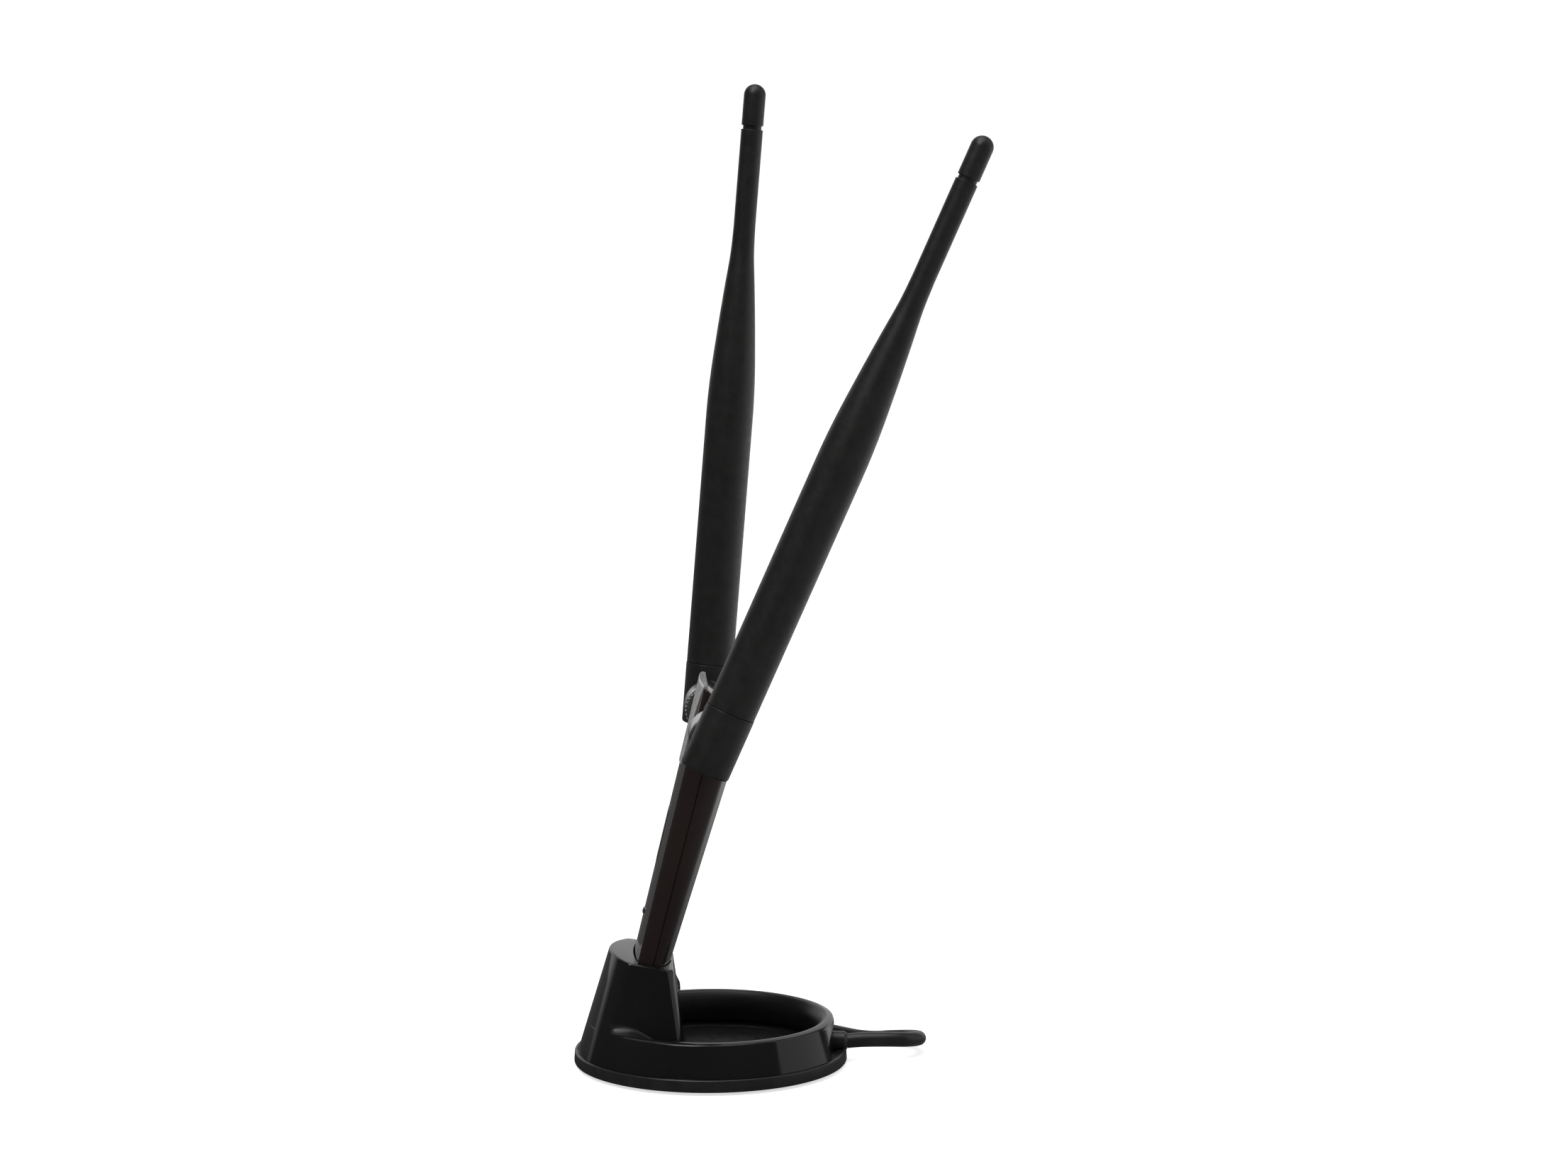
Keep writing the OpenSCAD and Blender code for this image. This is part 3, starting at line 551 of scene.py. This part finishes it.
def make_tower():
    """The tower, its rounded top edge, and the mouth that the adapter stands in."""
    edge = 0.55
    rows = []
    # The tower stands this far out of the ring's wall, so that their faces don't coincide.
    proud = 0.008
    for z, wall_inset in ((2.0, 0.6), (PLATE_TOP - 0.05, 0.6), (PLATE_TOP + 0.02, -proud), (8, -proud),
                          (12, -proud), (16, -proud), (21, -proud), (25, -proud)):
        rows.append([(x, y, z) for x, y in tower_outline(z, 0, wall_inset)])
    for a in between(0, 90, 5):
        inset = edge * (1 - math.cos(math.radians(a)))
        drop = edge * (1 - math.sin(math.radians(a)))
        row = [(x, y, 28) for x, y in tower_outline(28, inset, -proud)]
        for _ in range(4):
            row = [(*tower_outline(tower_top_at(x) - drop, inset, -proud)[i], tower_top_at(x) - drop)
                   for i, (x, y, z) in enumerate(row)]
        rows.append(row)
    mouth = []
    slope = math.atan(TOWER_TOP_SLOPE)
    ring = body_outline(0, 0.35)
    centre = Vector((-14.6, 0))
    flat = []
    for t, y in ring:
        # Height along the body at which this line crosses the sloping top.
        x0, z0 = DATUM.x + t * math.cos(LEAN), DATUM.z - t * math.sin(LEAN)
        w = (tower_top_at(x0) - z0) / (math.cos(LEAN) + math.sin(LEAN) * math.tan(slope))
        flat.append((x0 + w * math.sin(LEAN), y, z0 + w * math.cos(LEAN)))
    for x, y, _ in rows[-1]:
        mouth.append(crossing(flat, centre, Vector((x, y)) - centre))
    rows.append([(x, y, tower_top_at(x)) for x, y, _ in mouth])
    lip = 0.25
    sink = Vector((math.sin(LEAN), 0, math.cos(LEAN)))
    for depth in (lip, 3, 9, 14):
        rows.append([tuple(Vector((x, y, tower_top_at(x))) - sink * depth) for x, y, _ in mouth])
    inner = [(x, y, 3.2) for x, y in tower_outline(3.2, 1.6)]
    rows.append(inner)
    rows.append(rows[0])
    return piece("cradle_tower", loft(rows, (False, False)), "gloss_black", "cradle", ["cradle_shell"],
                 sharp=38)


def crossing(ring, centre, ray):
    """Where a ray from the centre leaves a ring of (x, y, z) points."""
    best = None
    for a, b in zip(ring, ring[1:] + ring[:1]):
        p, q = Vector(a[:2]) - centre, Vector(b[:2]) - centre
        along = q - p
        det = ray.x * along.y - ray.y * along.x
        if abs(det) < 1e-9:
            continue
        far = (p.x * along.y - p.y * along.x) / det
        share = (p.x * ray.y - p.y * ray.x) / det
        if far > 0 and -1e-6 <= share <= 1 + 1e-6:
            best = (centre.x + ray.x * far, centre.y + ray.y * far, 0)
    return best


def make_plate():
    """Base plate with a rounded lower edge and a stepped lip under the wall."""
    profile = rounded([
        (0, PLATE_Z, 0), (PLATE_R + 0.05, PLATE_Z, 0.7), (PLATE_R - 0.15, PLATE_TOP - 0.05, 0.35),
        (35.95, PLATE_TOP - 0.05, 0), (35.95, 3.6, 0), (34, 3.6, 0), (34, 1.6, 0), (0, 1.6, 0),
    ])
    plate = piece("cradle_plate", lathe(profile, 256), "satin_black", "cradle", ["base_plate"])
    holes = []
    for k in range(3):
        turn = Matrix.Rotation(math.radians(60 + 120 * k), 4, "Z") @ Matrix.Translation((32.3, 0, 0))
        holes.append(placed(lathe([(0, 0), (1.95, 0), (1.95, 1.34), (0, 1.34)], 32), turn))
    cut(plate, holes)
    return plate


make_ring()
make_tower()
make_webs()
make_plate()


# ---------- adapter ----------

def body_top_at(t):
    return 76.1 - (max(t, 0.8) - 1.4) * 0.632


def half_shell(front):
    """The front or rear shell as closed rows along the body, with a chamfered seam edge."""
    gap, bevel, edge = 0.06, 0.18, 0.6
    sign = -1 if front else 1

    def section(w, inset=0.0):
        seam = SEAM_T + w * SEAM_SLOPE + sign * gap
        line = front_side() if front else back_side(w)
        line += [(t, BODY_HALF) for t in between(line[-1][0], seam + sign * bevel, 3)[1:]]
        line += [(seam, BODY_HALF - bevel), (seam, BODY_HALF / 2)]
        reach = abs(line[0][0] - seam)
        row = []
        for t, y in line:
            share = min(1, abs(t - seam) / reach * 2)
            row.append((t - sign * inset * share, y * (1 - inset / BODY_HALF)))
        return row + [(t, -y) for t, y in reversed(row[1:])]

    rows = [[(t, y, BODY_BOTTOM) for t, y in section(BODY_BOTTOM, 0.5)]]
    rows.append([(t, y, BODY_BOTTOM + 0.15) for t, y in section(BODY_BOTTOM, 0.15)])
    for w in (BODY_BOTTOM + 0.5, *between(0, 60, 12)):
        rows.append([(t, y, w) for t, y in section(w)])
    for angle in between(0, 90, 5):
        inset = edge * (1 - math.cos(math.radians(angle)))
        drop = edge * (1 - math.sin(math.radians(angle)))
        flat = section(72, inset)
        rows.append([
            (*section(body_top_at(t) - drop, inset)[i], body_top_at(t) - drop)
            for i, (t, y) in enumerate(flat)
        ])
    return loft(rows)


def pill(low, high, radius, front, back, n=10):
    """A slot shape along the body between two centres, from one depth to another."""
    outline = [(y, high + z) for y, z in arc(0, 0, radius, 0, 180, n)]
    outline += [(y, low + z) for y, z in arc(0, 0, radius, 180, 360, n)]
    return [[(t, y, w) for y, w in outline] for t in (front, back)]


def make_shells():
    front = piece("front_cover", half_shell(True), "stick_black", "adapter", ["front_shell"], ON_BODY,
                  sharp=40)
    piece("rear_cover", half_shell(False), "stick_black", "adapter", ["back_shell"], ON_BODY,
          sharp=40)
    slot_shape = loft(pill(27.9, 39.9, 2.65, -3, 1.2))
    lens_shape = loft(pill(12.4, 12.4, 1.0, -3, 0.6, 8))
    cut(front, [placed(slot_shape, ON_BODY), placed(lens_shape, ON_BODY)], 40)


def make_button():
    """The pairing button, slightly proud and crowned, with a small dark indicator at its top."""
    rows = [pill(27.9, 39.9, 2.4, 0.55, 0.55)[0]]
    for inset, t in ((0.0, -0.85), (0.05, -0.98), (0.2, -1.08), (0.55, -1.12)):
        rows.append(pill(27.9, 39.9, 2.4 - inset, t, t)[0])
    piece("button_cap", loft(rows), "stick_black", "button", ["pairing_button"], ON_BODY)
    turn = Matrix.Translation((0, 0, 40.1)) @ Matrix.Rotation(math.radians(-90), 4, "Y")
    dot = [(0, 1.0), (0.75, 1.0), (0.75, 1.13), (0.6, 1.17), (0, 1.17)]
    piece("button_dot", placed(lathe(dot, 32), turn), "smoke_lens", "button", (), ON_BODY)


def make_lens():
    turn = Matrix.Translation((0, 0, 12.4)) @ Matrix.Rotation(math.radians(-90), 4, "Y")
    dome = [(0, -0.5), (0.95, -0.5), (0.95, 1.1), (0.9, 1.3), (0.7, 1.45), (0.35, 1.52), (0, 1.54)]
    piece("status_window", placed(lathe(dome, 40), turn), "smoke_lens", "adapter", ["status_lens"], ON_BODY)


def trim_half(w):
    """Half width of the silver plate at a height along the body."""
    marks = [(54, 4.6), (54.5, 6.0), (56, 6.6), (63, 7.6), (70, 9.4), (74, 11.4), (77.3, 13.75)]
    for (w0, h0), (w1, h1) in zip(marks, marks[1:]):
        if w <= w1:
            return h0 + (h1 - h0) * max(0, w - w0) / (w1 - w0)
    return marks[-1][1]


def make_trim():
    """The silver plate in the front face, widening to the full width at its top edge."""
    across = 24
    rows = []
    heights = [54, 54.2, 54.6, 55.2, 56, 58, 61, 64, 67, 70, 72, 74, 75.5, 76.6, 77.1, 77.3]
    for w in heights:
        half = trim_half(w)
        lift = 0.35 if 54.2 <= w <= 77.1 else 0.2
        front = []
        for u in between(-1, 1, across):
            y = u * half
            soft = 0.15 if abs(u) == 1 else 0
            front.append((-BODY_BULGE * (1 - (y / BODY_HALF) ** 2) - lift + soft, y, w))
        back = [(0.7, y, w) for _, y, _ in reversed(front)]
        rows.append(front + back)
    return piece("front_plate", loft(rows), "silver_paint", "adapter", ["silver_trim"], ON_BODY, sharp=50)


make_shells()
make_button()
make_lens()
make_trim()


# ---------- antennas ----------

def lean_of(side):
    x, _, z = JOINT[f"{side}_tilt"]["axis"]
    return math.atan2(abs(z), abs(x))


def on_antenna(side):
    hinge = Vector(JOINT[f"{side}_tilt"]["pos_m"]) / MM
    half_turn = Matrix.Rotation(math.pi if side == "near" else 0, 4, "Z")
    return Matrix.Translation(hinge) @ Matrix.Rotation(lean_of(side), 4, "Y") @ half_turn


# Share of the full thickness at distances from the tip.
SWELL = [(39, 0), (44, 0.04), (47.3, 0.095), (50.2, 0.17), (53.1, 0.257), (56.1, 0.343), (59, 0.42),
         (64.8, 0.571), (70.7, 0.71), (76.6, 0.84), (82.4, 0.937), (88, 0.99), (92, 1)]


def make_whip(side):
    grow = WHIP_R - SLIM_R
    marks = [Vector((SLIM_R + grow * s, WHIP_UP - d, 0)) for d, s in SWELL]
    swelling = [(p.x, p.y) for p in smooth_line(list(reversed(marks)), 4)]
    profile = [(0, COLLAR_TOP + 0.05), (WHIP_R - 0.12, COLLAR_TOP + 0.05), (WHIP_R, COLLAR_TOP + 0.18)]
    profile += [*swelling, (SLIM_R, GROOVE - 0.12), (SLIM_R - 0.12, GROOVE), (SLIM_R - 0.45, GROOVE)]
    profile += [(SLIM_R - 0.45, GROOVE + GROOVE_W), (0, GROOVE + GROOVE_W)]
    place = on_antenna(side)
    body = f"{side}_antenna"
    piece(f"{side}_whip_cover", lathe(profile, 128), "soft_black", body, [f"{side}_whip"], place)
    seat = GROOVE + GROOVE_W
    cap = [(0, seat - 0.05), (SLIM_R - 0.12, seat - 0.05), (SLIM_R, seat + 0.1)]
    cap += arc(0, WHIP_UP - SLIM_R, SLIM_R, 0, 90, 14)
    cap[-1] = (0, WHIP_UP)
    piece(f"{side}_tip_cover", lathe(cap, 96), "soft_black", body, [f"{side}_tip_cap"], place)


def make_housing(side):
    """The lower cup of the antenna, slotted on the adapter's side and below for the swivel's neck."""
    r = WHIP_R + 0.1
    top = COLLAR_TOP - 0.05
    profile = rounded([(0, -WHIP_DOWN, 0), (r, -WHIP_DOWN, 0.8), (r, top, 0.15), (0, top, 0)], 6)
    place = on_antenna(side)
    cup = piece(f"{side}_cup", lathe(profile, 128), "soft_black", f"{side}_antenna",
                [f"{side}_housing"], place)
    slot_half, deep = 4.3, 9
    box = [[(x, y, z) for x, y in ((-slot_half, -deep), (slot_half, -deep), (slot_half, slot_half),
                                   (-slot_half, slot_half))] for z in (-deep, slot_half)]
    cut(cup, [placed(loft(box), place)])


def make_nut(side):
    """Thumb nut: plain barrel, toothed rim on the adapter's side, bored through."""
    teeth = 36
    tooth_depth = 0.6
    profile = [
        (2.55, NUT_OUT), (5.9, NUT_OUT), (6.25, NUT_OUT + 0.12), (NUT_R - 0.05, NUT_OUT + 0.4),
        (NUT_R, NUT_OUT + 0.7),
        (NUT_R, NUT_IN - 2.1), (NUT_R - 0.1, NUT_IN - 1.95), (6.25, NUT_IN - 1.9),
        (6.3, NUT_IN - 1.75), (NUT_R, NUT_IN - 1.5), (NUT_R, NUT_IN - 0.3), (6.3, NUT_IN),
        (3.2, NUT_IN), (3.2, NUT_OUT + 4.6), (2.55, NUT_OUT + 4.6), (2.55, NUT_OUT),
    ]
    toothed = (9, 10)

    def serrated(i, angle, r):
        if i not in toothed:
            return r
        share = angle * teeth / (2 * math.pi) % 1
        return r - tooth_depth * abs(2 * share - 1)

    towards_body = Matrix.Rotation(math.radians(90), 4, "X")
    piece(f"{side}_thumb_nut", placed(lathe(profile, teeth * 8, serrated), towards_body), "plated_steel",
          f"{side}_nut_body", [f"{side}_nut"], on_antenna(side), sharp=28)


for side in SIDES:
    make_whip(side)
    make_housing(side)
    make_nut(side)


# ---------- floor and light ----------

def ray_switch(tree, socket, for_camera, for_others):
    """Gives one shader to mirrored rays and another to every other ray."""
    path = tree.nodes.new("ShaderNodeLightPath")
    mix = tree.nodes.new("ShaderNodeMixShader")
    link(tree, path.outputs["Is Glossy Ray"], mix.inputs["Fac"])
    link(tree, for_camera, mix.inputs[1])
    link(tree, for_others, mix.inputs[2])
    link(tree, mix.outputs["Shader"], socket)


def make_floor():
    """A white table that polished parts mirror as a dark one, as they do under a studio hood."""
    size = 6.0
    mesh = bpy.data.meshes.new("floor")
    corners = [(-size, -size, 0), (size, -size, 0), (size, size, 0), (-size, size, 0)]
    mesh.from_pydata(corners, [], [(0, 1, 2, 3)])
    floor = bpy.data.objects.new("floor", mesh)
    bpy.context.scene.collection.objects.link(floor)
    paint = surface("floor_white", (0.9, 0.9, 0.9), 0.9, grain=40, tone=0.01, bump=0.0, ior=1.2)
    tree = paint.node_tree
    glow = tree.nodes.new("ShaderNodeEmission")
    path = tree.nodes.new("ShaderNodeLightPath")
    level = tree.nodes.new("ShaderNodeMath")
    level.operation = "MULTIPLY"
    level.inputs[1].default_value = 0.66
    link(tree, path.outputs["Is Camera Ray"], level.inputs[0])
    link(tree, level.outputs["Value"], glow.inputs["Strength"])
    both = tree.nodes.new("ShaderNodeAddShader")
    link(tree, tree.nodes["Principled BSDF"].outputs["BSDF"], both.inputs[0])
    link(tree, glow.outputs["Emission"], both.inputs[1])
    mirrored = tree.nodes.new("ShaderNodeEmission")
    place = tree.nodes.new("ShaderNodeTexCoord")
    split = tree.nodes.new("ShaderNodeSeparateXYZ")
    across = tree.nodes.new("ShaderNodeMapRange")
    across.inputs["From Min"].default_value = 0.0
    across.inputs["From Max"].default_value = 0.22
    across.inputs["To Min"].default_value = 0.1
    across.inputs["To Max"].default_value = 0.9
    across.interpolation_type = "SMOOTHSTEP"
    behind = tree.nodes.new("ShaderNodeMapRange")
    behind.inputs["From Min"].default_value = -0.1
    behind.inputs["From Max"].default_value = 0.15
    behind.inputs["To Min"].default_value = 0.25
    both_ways = tree.nodes.new("ShaderNodeMath")
    both_ways.operation = "MULTIPLY"
    link(tree, place.outputs["Object"], split.inputs["Vector"])
    link(tree, split.outputs["X"], across.inputs["Value"])
    link(tree, split.outputs["Y"], behind.inputs["Value"])
    link(tree, across.outputs["Result"], both_ways.inputs[0])
    link(tree, behind.outputs["Result"], both_ways.inputs[1])
    link(tree, both_ways.outputs["Value"], mirrored.inputs["Strength"])
    ray_switch(tree, tree.nodes["Material Output"].inputs["Surface"], both.outputs["Shader"],
               mirrored.outputs["Emission"])
    mesh.materials.append(paint)


def soft_box(name, at, aim, width, height, power):
    data = bpy.data.lights.new(name, "AREA")
    data.shape = "RECTANGLE"
    data.size, data.size_y = width, height
    data.energy = power
    lamp = bpy.data.objects.new(name, data)
    bpy.context.scene.collection.objects.link(lamp)
    lamp.location = at
    lamp.rotation_mode = "QUATERNION"
    lamp.rotation_quaternion = (Vector(aim) - Vector(at)).to_track_quat("-Z", "Y")


def make_world():
    """White surroundings. Mirrored rays meet darker ones, lit from above and by a backdrop at +Y."""
    world = bpy.data.worlds.new("studio")
    bpy.context.scene.world = world
    world.use_nodes = True
    tree = world.node_tree
    tree.nodes.clear()
    out = tree.nodes.new("ShaderNodeOutputWorld")
    path = tree.nodes.new("ShaderNodeLightPath")
    white = tree.nodes.new("ShaderNodeBackground")
    dim = tree.nodes.new("ShaderNodeBackground")
    soft = tree.nodes.new("ShaderNodeBackground")
    white.inputs["Strength"].default_value = 1.05
    white.inputs["Color"].default_value = (1, 1, 1, 1)
    soft.inputs["Color"].default_value = (1, 1, 1, 1)
    soft.inputs["Strength"].default_value = 0.45
    place = tree.nodes.new("ShaderNodeTexCoord")
    split = tree.nodes.new("ShaderNodeSeparateXYZ")
    ramp = tree.nodes.new("ShaderNodeValToRGB")
    backdrop = tree.nodes.new("ShaderNodeMapRange")
    total = tree.nodes.new("ShaderNodeMath")
    link(tree, place.outputs["Generated"], split.inputs["Vector"])
    link(tree, split.outputs["Z"], ramp.inputs["Fac"])
    link(tree, split.outputs["Y"], backdrop.inputs["Value"])
    backdrop.inputs["From Min"].default_value = 0.6
    backdrop.inputs["From Max"].default_value = 0.74
    backdrop.inputs["To Max"].default_value = 0.75
    link(tree, ramp.outputs["Color"], total.inputs[0])
    link(tree, backdrop.outputs["Result"], total.inputs[1])
    link(tree, total.outputs["Value"], dim.inputs["Strength"])
    stops = [(0.0, 0.05), (0.3, 0.04), (0.6, 0.05), (0.8, 0.2), (1.0, 0.5)]
    while len(ramp.color_ramp.elements) < len(stops):
        ramp.color_ramp.elements.new(0.5)
    for element, (position, level) in zip(ramp.color_ramp.elements, stops):
        element.position = position
        element.color = (level, level, level, 1)
    camera_or_not = tree.nodes.new("ShaderNodeMixShader")
    link(tree, path.outputs["Is Camera Ray"], camera_or_not.inputs["Fac"])
    link(tree, soft.outputs["Background"], camera_or_not.inputs[1])
    link(tree, white.outputs["Background"], camera_or_not.inputs[2])
    ray_switch(tree, out.inputs["Surface"], camera_or_not.outputs["Shader"], dim.outputs["Background"])


make_floor()
make_world()
soft_box("overhead", (-0.1, -0.1, 1.6), (0, 0, 0.1), 1.2, 1.2, 9)
soft_box("front_left", (-0.55, -0.8, 1.35), (0, 0, 0.05), 0.6, 0.6, 7)
soft_box("right_panel", (1.2, -0.02, 0.72), (0, -0.02, 0.72), 1.25, 1.85, 3.6)
bpy.context.scene.view_settings.view_transform = "Standard"
